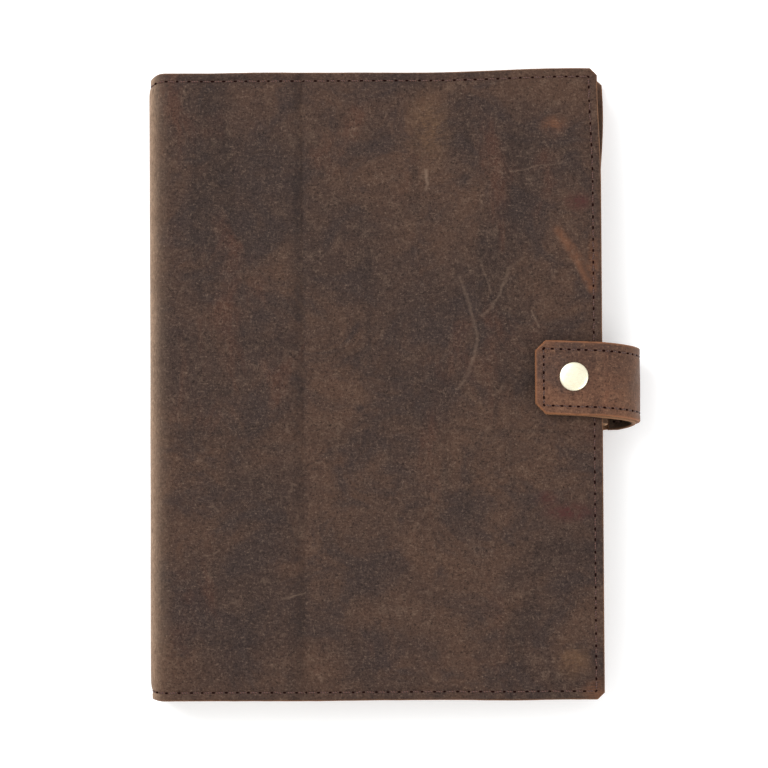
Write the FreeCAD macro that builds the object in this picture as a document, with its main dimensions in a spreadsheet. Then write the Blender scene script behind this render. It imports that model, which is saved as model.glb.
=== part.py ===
import FreeCAD, Part
import os
import Sketcher

# Leather notebook cover with a snap strap, a pen loop and an A5 notebook inside.
# X runs from the spine to the fore-edge, Y from the tail of the book to its head, Z upward.
# The closed cover lies on its back; the origin is the middle of the resting face.

DIMS = {
    "half_depth": 80.0,
    "half_height": 111.0,
    "closed_height": 24.0,
    "ply": 1.6,
    "fold_radius": 4.0,
    "fold_inner_radius": 2.4,
    "corner_clip": 2.5,
    "seam_inset": 3.0,
    "half_thread": 0.35,
    "thread_depth": 0.6,
    "half_groove": 0.4,
    "pocket_mouth": 25.0,
    "pocket_gap": 2.4,
    "rim": 6.0,
    "notch_margin": 0.4,
    "strap_middle": 2.6,
    "half_strap": 13.0,
    "strap_tip": 56.5,
    "tip_clip": 3.7,
    "tail_length": 9.0,
    "loop_height": 15.4,
    "loop_outer": 13.8,
    "loop_middle": 12.2,
    "loop_inner": 10.6,
    "lining_gap": 2.7,
    "anchor_near": 5.0,
    "anchor_far": 8.0,
    "half_anchor": 11.0,
    "snap_depth": 69.6,
    "cap_radius": 5.1,
    "cap_edge": 0.5,
    "cap_rise": 1.1,
    "cap_flat": 1.8,
    "cap_dome_radius": 9.0,
    "shank_radius": 1.5,
    "flange_radius": 4.0,
    "flange_thickness": 0.4,
    "stud_base_radius": 3.6,
    "stud_base": 0.5,
    "stud_radius": 1.9,
    "stud_neck_radius": 1.6,
    "stud_height": 1.7,
    "socket_radius": 4.3,
    "socket_bore": 2.7,
    "socket_height": 1.2,
    "spring_bore": 2.25,
    "spring_low": 0.8,
    "spring_high": 0.4,
    "pen_middle": 76.5,
    "pen_height": 12.0,
    "pen_bore": 4.5,
    "pen_outer": 6.0,
    "pen_wall": 1.5,
    "pen_tail": 0.8,
    "pen_lip_gap": 0.3,
    "pen_drop": 3.6,
    "pen_lip_lap": 1.0,
    "board": 2.0,
    "board_back": 76.0,
    "board_front": 69.0,
    "half_board": 105.0,
    "board_clip": 6.0,
    "page_back": 75.5,
    "page_front": 67.0,
    "page_step": 26.0,
    "half_page": 103.0,
    "page_gap": 0.3,
    "strip_outer": 78.2,
    "strip_inner": 77.0,
    "strip_margin": 0.5,
    "half_strip": 104.0,
}

document = FreeCAD.newDocument("notebook_cover")
sheet = document.addObject("Spreadsheet::Sheet", "dims")
for row, (alias, number) in enumerate(DIMS.items(), start=1):
    cell = "A%d" % row
    sheet.set(cell, str(number))
    sheet.setAlias(cell, alias)
document.recompute()


def amount(words):
    """Add up a sum of named sizes such as 'half_depth - ply'."""
    total = 0.0
    sign = 1.0
    for word in words.split():
        if word == "+":
            sign = 1.0
        elif word == "-":
            sign = -1.0
        elif word != "zero":
            total += sign * DIMS[word]
    return total


def formula(words):
    """The same sum as a spreadsheet formula."""
    pieces = []
    for word in words.split():
        if word == "zero":
            pieces.append("0")
        elif word in DIMS:
            pieces.append("dims." + word)
        else:
            pieces.append(word)
    return "(" + " ".join(pieces) + ") * 1mm"


def mirrored(words):
    """Height counted down from the closed height instead of up from the table."""
    swapped = []
    for word in words.split():
        if word in ("+", "-"):
            swapped.append("-" if word == "+" else "+")
        elif swapped and swapped[-1] in ("+", "-"):
            swapped.append(word)
        else:
            swapped.extend(["-", word])
    return "closed_height " + " ".join(swapped)


def new_body(label):
    body = document.addObject("PartDesign::Body", label)
    body.Label = label
    return body


def outline(body, name, plane, corners):
    """Closed outline; a corner is (across, up) or (across, up, radius, turn) for an arc leaving it."""
    sketch = body.newObject("Sketcher::SketchObject", name)
    origin_plane = [item for item in body.Origin.OriginFeatures if item.Role == plane][0]
    sketch.AttachmentSupport = [(origin_plane, "")]
    sketch.MapMode = "FlatFace"
    count = len(corners)
    spots = [FreeCAD.Vector(amount(corner[0]), amount(corner[1]), 0) for corner in corners]
    ends = []
    for index, corner in enumerate(corners):
        start = spots[index]
        stop = spots[(index + 1) % count]
        if len(corner) == 2:
            sketch.addGeometry(Part.LineSegment(start, stop))
            ends.append((1, 2))
            continue
        radius = amount(corner[2])
        turn = corner[3]
        chord = stop - start
        half = chord.Length / 2.0
        side = FreeCAD.Vector(-chord.y, chord.x, 0).normalize() * turn
        middle = (start + stop) / 2.0 + side * (radius * radius - half * half) ** 0.5
        bulge = middle - side * radius
        sketch.addGeometry(Part.Arc(start, bulge, stop))
        ends.append((1, 2) if turn > 0 else (2, 1))
    for index in range(count):
        following = (index + 1) % count
        sketch.addConstraint(Sketcher.Constraint("Coincident", index, ends[index][1],
                                                 following, ends[following][0]))
    for index, corner in enumerate(corners):
        point = ends[index][0]
        for kind, words in (("DistanceX", corner[0]), ("DistanceY", corner[1])):
            number = sketch.addConstraint(Sketcher.Constraint(kind, -1, 1, index, point, amount(words)))
            sketch.setExpression("Constraints[%d]" % number, formula(words))
        if len(corner) > 2:
            number = sketch.addConstraint(Sketcher.Constraint("Radius", index, amount(corner[2])))
            sketch.setExpression("Constraints[%d]" % number, formula(corner[2]))
    return sketch


def pad(body, name, sketch, half_length):
    feature = body.newObject("PartDesign::Pad", name)
    feature.Profile = sketch
    feature.SideType = "Symmetric"
    feature.setExpression("Length", "2 * " + formula(half_length))
    document.recompute()
    body.Tip = feature
    return feature


def extruded(label, corners, half_length, middle="zero"):
    """A body whose outline lies across the spine and runs evenly along it."""
    body = new_body(label)
    sketch = outline(body, label + "_outline", "XZ_Plane", corners)
    pad(body, label + "_pad", sketch, half_length)
    body.setExpression("Placement.Base.y", formula(middle))
    document.recompute()
    return body


def block(near, far, low, high):
    return [(near, low), (far, low), (far, high), (near, high)]


def slot(body, name, corners, height, depth, upward):
    """Cut an outline drawn in plan into the body, starting at a height."""
    sketch = outline(body, name + "_outline", "XY_Plane", corners)
    sketch.setExpression("AttachmentOffset.Base.z", formula(height))
    before = body.Shape.Volume
    feature = body.newObject("PartDesign::Pocket", name)
    feature.Profile = sketch
    feature.Reversed = upward
    feature.setExpression("Length", formula(depth))
    document.recompute()
    body.Tip = feature
    document.recompute()
    if not body.Shape.Volume < before - 0.01:
        raise ValueError(name + " removed nothing")
    return feature


def clip(body, name, size, where):
    """Chamfer the upright corner edges standing at one distance from the spine."""
    base = body.Tip
    edges = []
    for number, edge in enumerate(base.Shape.Edges, start=1):
        first = edge.Vertexes[0].Point
        last = edge.Vertexes[-1].Point
        upright = abs(first.x - last.x) < 1e-6 and abs(first.y - last.y) < 1e-6
        if upright and abs(first.x - amount(where)) < 1e-6:
            edges.append("Edge%d" % number)
    feature = body.newObject("PartDesign::Chamfer", name)
    feature.Base = (base, edges)
    feature.setExpression("Size", formula(size))
    document.recompute()
    body.Tip = feature
    document.recompute()
    return feature


def turned(label, corners, height):
    """A round piece turned about the upright axis of the snap."""
    body = new_body(label)
    sketch = outline(body, label + "_outline", "XZ_Plane", corners)
    feature = body.newObject("PartDesign::Revolution", label + "_turn")
    feature.Profile = sketch
    feature.ReferenceAxis = (sketch, ["V_Axis"])
    feature.Angle = 360.0
    document.recompute()
    body.Tip = feature
    body.setExpression("Placement.Base.x", formula("snap_depth"))
    body.setExpression("Placement.Base.y", formula("strap_middle"))
    body.setExpression("Placement.Base.z", formula(height))
    document.recompute()
    return body


def negative(words):
    flipped = []
    for word in words.split():
        if word in ("+", "-"):
            flipped.append("-" if word == "+" else "+")
        elif flipped and flipped[-1] in ("+", "-"):
            flipped.append(word)
        else:
            flipped.extend(["-", word])
    return " ".join(flipped)


def seam_path(near, far, reach, half_width):
    """A stitched line along head, fore-edge and tail, open towards the spine."""
    outer = reach + " + " + half_width
    inner = reach + " - " + half_width
    edge = far + " + " + half_width
    wall = far + " - " + half_width
    return [(near, negative(outer)), (edge, negative(outer)), (edge, outer), (near, outer),
            (near, inner), (wall, inner), (wall, negative(inner)), (near, negative(inner))]


SEAM_NEAR = "- half_depth + fold_radius"
SEAM_FAR = "half_depth - seam_inset"
SEAM_REACH = "half_height - seam_inset"
TAIL_NEAR = "half_depth - tail_length"


def outer_leather(label, height_of):
    """One outer cover panel: flat, with the quarter bend towards the spine."""
    near = "- half_depth + fold_radius"
    turn = 1 if height_of("ply") == "ply" else -1
    corners = [(near, height_of("zero")),
               ("half_depth", height_of("zero")),
               ("half_depth", height_of("ply")),
               (near, height_of("ply"), "fold_inner_radius", -turn),
               ("- half_depth + ply", height_of("fold_radius")),
               ("- half_depth", height_of("fold_radius"), "fold_radius", turn)]
    body = extruded(label, corners, "half_height")
    clip(body, label + "_corners", "corner_clip", "half_depth")
    slot(body, label + "_groove", seam_path(SEAM_NEAR, SEAM_FAR, SEAM_REACH, "half_groove"),
         height_of("zero"), "thread_depth", turn > 0)
    return body


def seam_thread(label, height_of):
    """The thread lying in the seam of one cover panel."""
    body = new_body(label)
    path = seam_path(SEAM_NEAR, SEAM_FAR, SEAM_REACH, "half_thread")
    sketch = outline(body, label + "_outline", "XY_Plane", path)
    sketch.setExpression("AttachmentOffset.Base.z", formula(height_of("zero")))
    feature = body.newObject("PartDesign::Pad", label + "_pad")
    feature.Profile = sketch
    feature.Reversed = height_of("ply") != "ply"
    feature.setExpression("Length", formula("thread_depth"))
    document.recompute()
    body.Tip = feature
    return body


def same(words):
    return words


# Outer panels and the spine between them.
back_leather = outer_leather("back_leather", same)
front_leather = outer_leather("front_leather", mirrored)
spine_leather = extruded(
    "spine_leather",
    block("- half_depth", "- half_depth + ply", "fold_radius", "closed_height - fold_radius"),
    "half_height")

# Seam threads of the panels, and the two short runs that cross the spine.
seam_thread("back_seam_thread", same)
seam_thread("front_seam_thread", mirrored)
for label, side in (("spine_thread_head", "half_height - seam_inset"),
                    ("spine_thread_tail", "- half_height + seam_inset")):
    extruded(
        label,
        block("- half_depth", "- half_depth + thread_depth", "fold_radius", "closed_height - fold_radius"),
        "half_thread", side)
    groove = outline(spine_leather, label + "_groove_outline", "YZ_Plane",
                     [(side + " - half_groove", "zero"), (side + " + half_groove", "zero"),
                      (side + " + half_groove", "closed_height"), (side + " - half_groove", "closed_height")])
    groove.setExpression("AttachmentOffset.Base.z", formula("- half_depth"))
    cut = spine_leather.newObject("PartDesign::Pocket", label + "_groove")
    cut.Profile = groove
    cut.Reversed = True
    cut.setExpression("Length", formula("thread_depth"))
    document.recompute()
    spine_leather.Tip = cut
    document.recompute()


def pocket(label, height_of):
    """Inner sleeve for a notebook board: a plate with a stitched rim on three sides."""
    plate_low = height_of("ply + pocket_gap")
    plate_high = height_of("ply + pocket_gap + ply")
    body = extruded(label, block("- pocket_mouth", "half_depth", height_of("ply"), plate_high), "half_height")
    clip(body, label + "_corners", "corner_clip", "half_depth")
    hollow = outline(body, label + "_hollow_outline", "XZ_Plane",
                     block("- half_depth", "half_depth - rim", height_of("zero"), plate_low))
    cut = body.newObject("PartDesign::Pocket", label + "_hollow")
    cut.Profile = hollow
    cut.SideType = "Symmetric"
    cut.setExpression("Length", "2 * " + formula("half_height - rim"))
    document.recompute()
    body.Tip = cut
    document.recompute()
    return body


back_pocket = pocket("back_pocket", same)
front_pocket = pocket("front_pocket", mirrored)

# Room in the back rim for the tails of the strap and of the pen loop.
notch = outline(back_pocket, "tail_notch_outline", "XZ_Plane",
                block("half_depth - tail_length - notch_margin", "half_depth + rim",
                      "zero", "ply + pocket_gap"))
notch.setExpression("AttachmentOffset.Base.z", formula("- strap_middle"))
notch_cut = back_pocket.newObject("PartDesign::Pocket", "tail_notch")
notch_cut.Profile = notch
notch_cut.SideType = "Symmetric"
notch_cut.setExpression("Length", "2 * " + formula("half_strap + notch_margin + pen_drop"))
document.recompute()
back_pocket.Tip = notch_cut
document.recompute()

# Strap: two plies, divided at the farthest point of its loop round the fore-edge.
extruded("strap_root_outer",
         [(TAIL_NEAR, "ply"),
          ("half_depth", "loop_height - loop_outer", "loop_outer", 1),
          ("half_depth + loop_outer", "loop_height"),
          ("half_depth + loop_middle", "loop_height", "loop_middle", -1),
          ("half_depth", "loop_height - loop_middle"),
          (TAIL_NEAR, "ply + ply")],
         "half_strap", "strap_middle")
root_lining = extruded("strap_root_lining",
                       [("half_depth", "loop_height - loop_middle", "loop_middle", 1),
                        ("half_depth + loop_middle", "loop_height"),
                        ("half_depth + loop_inner", "loop_height", "loop_inner", -1),
                        ("half_depth", "loop_height - loop_inner")],
                       "half_strap", "strap_middle")
start_cut_outline = outline(root_lining, "lining_start_outline", "XZ_Plane",
                            block("half_depth - rim", "half_depth + lining_gap", "zero", "loop_height"))
start_cut = root_lining.newObject("PartDesign::Pocket", "lining_start")
start_cut.Profile = start_cut_outline
start_cut.SideType = "Symmetric"
start_cut.setExpression("Length", "4 * " + formula("half_strap"))
document.recompute()
root_lining.Tip = start_cut
document.recompute()

SNAP_TOP = "loop_height + loop_outer"
tip_outer = extruded("strap_tip_outer",
                     [("strap_tip", "loop_height + loop_middle"),
                      ("half_depth", "loop_height + loop_middle", "loop_middle", -1),
                      ("half_depth + loop_middle", "loop_height"),
                      ("half_depth + loop_outer", "loop_height", "loop_outer", 1),
                      ("half_depth", SNAP_TOP),
                      ("strap_tip", SNAP_TOP)],
                     "half_strap", "strap_middle")
tip_lining = extruded("strap_tip_lining",
                      [("strap_tip", "loop_height + loop_inner"),
                       ("half_depth", "loop_height + loop_inner", "loop_inner", -1),
                       ("half_depth + loop_inner", "loop_height"),
                       ("half_depth + loop_middle", "loop_height", "loop_middle", 1),
                       ("half_depth", "loop_height + loop_middle"),
                       ("strap_tip", "loop_height + loop_middle")],
                      "half_strap", "strap_middle")
for strap_piece in (tip_outer, tip_lining):
    clip(strap_piece, strap_piece.Label + "_corners", "tip_clip", "strap_tip")


def strap_seam(half_width):
    """Stitched line round the strap tip, open towards the fore-edge."""
    far = "strap_tip + seam_inset - " + half_width
    wall = "strap_tip + seam_inset + " + half_width
    reach = "half_strap - seam_inset"
    outer = reach + " + " + half_width
    inner = reach + " - " + half_width
    path = [("half_depth", negative(outer)), ("half_depth", negative(inner)), (wall, negative(inner)),
            (wall, inner), ("half_depth", inner), ("half_depth", outer), (far, outer), (far, negative(outer))]
    return path


slot(tip_outer, "strap_groove", strap_seam("half_groove"), SNAP_TOP, "thread_depth", False)
strap_thread = new_body("strap_thread")
strap_thread_outline = outline(strap_thread, "strap_thread_outline", "XY_Plane", strap_seam("half_thread"))
strap_thread_outline.setExpression("AttachmentOffset.Base.z", formula(SNAP_TOP))
strap_thread_pad = strap_thread.newObject("PartDesign::Pad", "strap_thread_pad")
strap_thread_pad.Profile = strap_thread_outline
strap_thread_pad.Reversed = True
strap_thread_pad.setExpression("Length", formula("thread_depth"))
document.recompute()
strap_thread.Tip = strap_thread_pad
strap_thread.setExpression("Placement.Base.y", formula("strap_middle"))
document.recompute()


def box(label, corner, size):
    """A plain block whose corner and size are bound to the named sizes."""
    piece = document.addObject("Part::Box", label)
    for side, words in zip(("Length", "Width", "Height"), size):
        piece.setExpression(side, formula(words))
    for axis, words in zip("xyz", corner):
        piece.setExpression("Placement.Base." + axis, formula(words))
    return piece


def rod(label, radius, length, start, upright):
    """A round bar, standing up or lying along the spine direction."""
    piece = document.addObject("Part::Cylinder", label)
    piece.setExpression("Radius", formula(radius))
    piece.setExpression("Height", formula(length))
    if not upright:
        piece.Placement.Rotation = FreeCAD.Rotation(FreeCAD.Vector(1, 0, 0), -90)
    for axis, words in zip("xyz", start):
        piece.setExpression("Placement.Base." + axis, formula(words))
    return piece


def minus(label, base, tool):
    piece = document.addObject("Part::Cut", label)
    piece.Base = base
    piece.Tool = tool
    return piece


# Thread box that anchors the strap and pen loop through the back panel.
ANCHOR_LOW = "half_depth - anchor_far"
ANCHOR_HIGH = "half_depth - anchor_near"


def anchor_block(label, half_width, sign):
    """Block whose sides stand off the anchor seam by half a thread, outward or inward."""
    away = " + " if sign > 0 else " - "
    back = " - " if sign > 0 else " + "
    return box(label,
               (ANCHOR_LOW + back + half_width, "strap_middle - half_anchor" + back + half_width, "zero"),
               ("anchor_far - anchor_near" + away + half_width + away + half_width,
                "half_anchor + half_anchor" + away + half_width + away + half_width,
                "thread_depth"))


anchor_thread = minus("strap_anchor_thread",
                      anchor_block("anchor_outside", "half_thread", 1),
                      anchor_block("anchor_inside", "half_thread", -1))
anchor_groove = minus("anchor_groove",
                      anchor_block("anchor_groove_outside", "half_groove", 1),
                      anchor_block("anchor_groove_inside", "half_groove", -1))
back_leather_done = minus("back_leather_done", back_leather, anchor_groove)

# Pen loop: a tube along the fore-edge, a web beside the pocket and a tail in the seam.
# It sits a little nearer the tail of the book than the strap does.
PEN_LOW = "strap_middle - half_strap - pen_drop"
PEN_START = ("pen_middle", PEN_LOW, "pen_height")
pen_tube = rod("pen_tube", "pen_outer", "half_strap + half_strap", PEN_START, False)
pen_hole = rod("pen_hole", "pen_bore", "half_strap + half_strap", PEN_START, False)
pen_web = box("pen_web", ("pen_middle + pen_outer - pen_wall", PEN_LOW, "ply + ply + pen_lip_gap"),
              ("pen_wall", "half_strap + half_strap", "pen_height - ply - ply - pen_lip_gap"))
pen_tail = box("pen_tail_strip", (TAIL_NEAR, PEN_LOW, "ply + ply"),
               ("tail_length", "half_strap + half_strap", "pen_tail"))
pen_lip = box("pen_lip", ("half_depth - pen_lip_lap", PEN_LOW, "ply + ply + pen_lip_gap"),
              ("pen_middle + pen_outer - half_depth + pen_lip_lap", "half_strap + half_strap",
               "pen_tail - pen_lip_gap"))
pen_solid = document.addObject("Part::MultiFuse", "pen_solid")
pen_solid.Shapes = [pen_tube, pen_web, pen_tail, pen_lip]
pen_loop = minus("pen_loop", pen_solid, pen_hole)

# Notebook: two boards, a block of leaves and the strip that joins the boards.
BOARD_LOW = {"back_board": "ply", "front_board": "closed_height - ply - pocket_gap"}
for label, low in BOARD_LOW.items():
    panel = extruded(label, block("- board_back", "board_front", low, low + " + board"), "half_board")
    clip(panel, label + "_corners", "board_clip", "board_front")
extruded("page_block",
         [("- page_back", "ply + board"),
          ("- page_step", "ply + board"),
          ("- page_step", "ply + pocket_gap + ply"),
          ("page_front", "ply + pocket_gap + ply"),
          ("page_front", "closed_height - ply - pocket_gap - ply - page_gap"),
          ("- page_step", "closed_height - ply - pocket_gap - ply - page_gap"),
          ("- page_step", "closed_height - ply - pocket_gap - page_gap"),
          ("- page_back", "closed_height - ply - pocket_gap - page_gap")],
         "half_page")
extruded("notebook_spine",
         block("- strip_outer", "- strip_inner", "fold_radius + strip_margin",
               "closed_height - fold_radius - strip_margin"),
         "half_strip")

# Snap: cap, socket and spring on the strap; stud and post on the front panel.
turned("snap_cap",
       [("zero", "zero - loop_outer + loop_inner"),
        ("shank_radius", "zero - loop_outer + loop_inner"),
        ("shank_radius", "zero"),
        ("cap_radius", "zero"),
        ("cap_radius", "cap_edge", "cap_dome_radius", 1),
        ("cap_flat", "cap_rise"),
        ("zero", "cap_rise")],
       SNAP_TOP)
turned("snap_socket",
       [("socket_bore", "zero - socket_height"),
        ("socket_radius", "zero - socket_height"),
        ("socket_radius", "zero"),
        ("socket_bore", "zero")],
       "loop_height + loop_inner")
turned("snap_ring",
       [("spring_bore", "zero - spring_low"),
        ("socket_bore", "zero - spring_low"),
        ("socket_bore", "zero - spring_high"),
        ("spring_bore", "zero - spring_high")],
       "loop_height + loop_inner")
turned("snap_stud",
       [("zero", "zero"),
        ("stud_base_radius", "zero"),
        ("stud_base_radius", "stud_base"),
        ("stud_neck_radius", "stud_base"),
        ("stud_radius", "stud_height - stud_base"),
        ("stud_neck_radius", "stud_height"),
        ("zero", "stud_height")],
       "closed_height")
turned("snap_post",
       [("zero", "zero - flange_thickness"),
        ("flange_radius", "zero - flange_thickness"),
        ("flange_radius", "zero"),
        ("shank_radius", "zero"),
        ("shank_radius", "ply"),
        ("zero", "ply")],
       "closed_height - ply")

# Rivet holes through the front panel and through both strap plies.
HOLE_LOW = {"front_leather": ("closed_height - ply", "ply"),
            "strap_tip_outer": ("loop_height + loop_middle", "ply"),
            "strap_tip_lining": ("loop_height + loop_inner", "ply")}
to_drill = {"front_leather": front_leather, "strap_tip_outer": tip_outer, "strap_tip_lining": tip_lining}
drilled = {}
for label, (low, depth) in HOLE_LOW.items():
    drill = rod(label + "_drill", "shank_radius", depth, ("snap_depth", "strap_middle", low), True)
    drilled[label] = minus(label + "_drilled", to_drill[label], drill)
document.recompute()

FINISHED = {"back_leather": back_leather_done}
FINISHED.update(drilled)
NODES = ["back_leather", "back_pocket", "back_board", "page_block", "back_seam_thread",
         "strap_anchor_thread", "strap_root_outer", "strap_root_lining", "pen_loop",
         "spine_leather", "notebook_spine", "spine_thread_head", "spine_thread_tail",
         "front_leather", "front_pocket", "front_board", "front_seam_thread", "snap_stud", "snap_post",
         "strap_tip_outer", "strap_tip_lining", "strap_thread", "snap_cap", "snap_socket", "snap_ring"]

for label, finished in FINISHED.items():
    document.getObject(label).Label = label + "_blank"
    finished.Label = label
document.recompute()

for item in document.Objects:
    if "Invalid" in item.State or "Error" in item.State:
        raise ValueError("cannot rebuild " + item.Label)

os.makedirs("parts", exist_ok=True)
for node in NODES:
    piece = document.getObjectsByLabel(node)[0]
    shape = piece.Shape
    if shape.isNull() or not shape.isValid() or len(shape.Solids) != 1:
        raise ValueError("bad shape for " + node)
    shape.exportStep("parts/" + node + ".step")
    extent = shape.BoundBox
    print("%-22s %8.1f mm3  x %7.2f %7.2f  y %7.2f %7.2f  z %6.2f %6.2f" % (
        node, shape.Volume, extent.XMin, extent.XMax, extent.YMin, extent.YMax, extent.ZMin, extent.ZMax))
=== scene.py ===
import math
import bmesh
import bpy
import numpy as np
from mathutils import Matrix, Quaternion, Vector


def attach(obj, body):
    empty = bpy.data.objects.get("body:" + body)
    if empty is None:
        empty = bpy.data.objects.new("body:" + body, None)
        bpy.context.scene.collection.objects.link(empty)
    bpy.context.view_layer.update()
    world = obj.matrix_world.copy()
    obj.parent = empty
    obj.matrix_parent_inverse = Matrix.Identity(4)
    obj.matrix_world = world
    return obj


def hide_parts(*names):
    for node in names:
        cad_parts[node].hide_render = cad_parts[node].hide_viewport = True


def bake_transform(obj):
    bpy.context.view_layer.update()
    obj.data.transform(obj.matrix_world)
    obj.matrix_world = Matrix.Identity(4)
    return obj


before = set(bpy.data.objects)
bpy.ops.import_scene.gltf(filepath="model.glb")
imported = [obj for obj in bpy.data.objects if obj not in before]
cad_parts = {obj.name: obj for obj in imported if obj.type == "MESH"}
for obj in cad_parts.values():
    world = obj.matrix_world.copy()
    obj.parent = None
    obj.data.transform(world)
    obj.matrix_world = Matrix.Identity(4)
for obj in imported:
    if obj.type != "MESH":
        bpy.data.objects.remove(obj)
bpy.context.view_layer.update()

# Shapes are in millimetres until a mesh is made. Materials, lights and the camera are in metres.
MM = 0.001

# Cover sizes, as in the CAD model.
HALF_DEPTH = 80.0
HALF_HEIGHT = 111.0
CLOSED = 24.0
PLY = 1.6
FOLD = 4.0
CORNER_CLIP = 2.5
SEAM_INSET = 3.0
SEAM_PITCH = 4.1
POCKET_MOUTH = -25.0
RIM_WIDTH = 7.0
RIM_DROP = 2.4

# Strap, snap and pen loop.
STRAP_MIDDLE = 2.6
HALF_STRAP = 13.0
STRAP_TIP = 56.0
TIP_CLIP = 3.7
LOOP_Z = 15.4
LOOP_OUTER = 13.8
STRAP_PITCH = 3.05
TAIL_START = 71.0
SNAP_X = 69.6
STRAP_TOP = 29.2
PEN_X = 76.5
PEN_Z = 12.0
PEN_DROP = 3.6

EDGE_ROUND = 0.45

# How the panels of a worn, hand-made cover differ from plain rectangles.
HEAD_DRAW_IN = 1.9
TAIL_DRAW_IN = 0.8
FRONT_RISE = 1.1
FRONT_RUN_IN = 1.2
BACK_STAND_OUT = 2.2

# Grid of a sheet: distances in from a free edge, steps about a named place, and the smallest gap.
EDGE_STEPS = (0.0, 0.1, 0.25, 0.45, 0.9, 1.6, 2.2, 2.6, 3.0, 3.4, 3.8, 4.6, 5.6)
PLACE_STEPS = (-1.2, -0.8, -0.4, 0.0, 0.4, 0.8, 1.2)
SMALLEST_GAP = 0.045

# A sheet's inner face has its own texture coordinates, INNER_FACE along from the outer face's.
INNER_FACE = 1500.0
INNER_FACE_FROM = 1000.0

# One stitch: points along it, sides round it, the share of the pitch where it starts and that it
# covers, how deep its ends go, and how wide and tall its section is against its radius.
STITCH_POINTS = 11
STITCH_SIDES = 8
STITCH_START = 0.11
STITCH_SPAN = 0.78
STITCH_SINK = 0.35
STITCH_WIDE = 1.12
STITCH_TALL = 0.88
HOLE_SIDES = 12
HOLE_LIFT = 0.09
HOLE_DISH = 0.03


# ---- shapes ----

def smooth(value, low, high):
    """Smooth step from 0 at low to 1 at high."""
    share = np.clip((value - low) / (high - low), 0.0, 1.0)
    return share * share * (3.0 - 2.0 * share)


def bump_line(distance, width):
    """1 on a line, falling away on both sides."""
    return np.exp(-(distance / width) ** 2)


def waves(a, b, seed, length):
    """Gentle unevenness between about -1 and 1."""
    dice = np.random.default_rng(seed)
    total = 0.0
    for turn in range(7):
        angle = dice.uniform(0, 2 * math.pi)
        step = 2 * math.pi / (length * dice.uniform(0.6, 1.8))
        phase = dice.uniform(0, 2 * math.pi)
        total = total + np.sin((a * math.cos(angle) + b * math.sin(angle)) * step + phase)
    return total / 4.0


def arc(centre, radius, start, stop, spacing=0.35):
    """Points along an arc in the X-Z plane, angles in degrees."""
    count = max(6, int(abs(math.radians(stop - start)) * radius / spacing))
    angles = np.radians(np.linspace(start, stop, count))
    return [(centre[0] + radius * math.cos(t), centre[1] + radius * math.sin(t)) for t in angles]


class Path:
    """A line in the X-Z plane, read by the distance along it."""

    def __init__(self, points, side):
        kept = [points[0]]
        for point in points[1:]:
            if math.dist(point, kept[-1]) > 1e-6:
                kept.append(point)
        self.p = np.array(kept, float)
        steps = np.diff(self.p, axis=0)
        lengths = np.hypot(steps[:, 0], steps[:, 1])
        self.s = np.concatenate([[0.0], np.cumsum(lengths)])
        self.length = float(self.s[-1])
        tangents = steps / lengths[:, None]
        at_points = np.vstack([tangents[:1], tangents[:-1] + tangents[1:], tangents[-1:]])
        at_points /= np.linalg.norm(at_points, axis=1)[:, None]
        self.n = np.column_stack([at_points[:, 1], -at_points[:, 0]]) * side

    def place(self, s, y, out):
        """Points at distance s along the path, y along the spine, out from the outer face."""
        beyond = np.maximum(s - self.length, 0.0)
        onward = (self.p[-1] - self.p[-2]) / math.dist(self.p[-1], self.p[-2])
        x = np.interp(s, self.s, self.p[:, 0]) + beyond * onward[0]
        z = np.interp(s, self.s, self.p[:, 1]) + beyond * onward[1]
        nx, nz = self.outward(s)
        return np.stack([x + out * nx, y + 0.0 * x, z + out * nz], axis=-1)

    def outward(self, s):
        nx = np.interp(s, self.s, self.n[:, 0])
        nz = np.interp(s, self.s, self.n[:, 1])
        length = np.hypot(nx, nz)
        return nx / length, nz / length

    def normal(self, s):
        """Which way is out from the outer face at distance s."""
        nx, nz = self.outward(s)
        return np.stack([nx, 0.0 * nx, nz], axis=-1)


def grid_lines(length, spacing, free_start, free_stop, extra=()):
    """Grid positions from 0 to length: fine near free edges and at the named places."""
    lines = set(np.round(np.linspace(0, length, max(2, int(length / spacing) + 1)), 4))
    if free_start:
        lines = {v for v in lines if v > EDGE_STEPS[-1]} | set(EDGE_STEPS)
    if free_stop:
        lines = {v for v in lines if v < length - EDGE_STEPS[-1]}
        lines |= {round(length - v, 4) for v in EDGE_STEPS}
    for place in extra:
        for step in PLACE_STEPS:
            lines.add(round(place + step, 4))
    ordered = sorted(v for v in lines if -1e-6 <= v <= length + 1e-6)
    kept = [ordered[0]]
    for value in ordered[1:]:
        if value - kept[-1] > SMALLEST_GAP:
            kept.append(value)
    kept[-1] = length
    return np.array(kept)


def add_object(name, data):
    made = bpy.data.objects.new(name, data)
    bpy.context.scene.collection.objects.link(made)
    return made


def shade(mesh, smoothly):
    mesh.polygons.foreach_set("use_smooth", np.full(len(mesh.polygons), smoothly))


def make_mesh(name, points, faces, uvs=None, values=None):
    """A smooth-shaded mesh; points in millimetres, uvs per vertex in millimetres."""
    mesh = bpy.data.meshes.new(name)
    corners_of_faces = [tuple(int(i) for i in face) for face in faces]
    mesh.from_pydata([tuple(p) for p in np.asarray(points) * MM], [], corners_of_faces)
    if uvs is not None:
        layer = mesh.uv_layers.new(name="sheet")
        corners = np.zeros(len(mesh.loops), np.int32)
        mesh.loops.foreach_get("vertex_index", corners)
        layer.data.foreach_set("uv", (np.asarray(uvs)[corners] * MM).astype(np.float32).ravel())
    for key, column in (values or {}).items():
        attribute = mesh.attributes.new(key, "FLOAT", "POINT")
        attribute.data.foreach_set("value", np.asarray(column, np.float32))
    shade(mesh, True)
    mesh.validate()
    mesh.update()
    return add_object(name, mesh)


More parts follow.
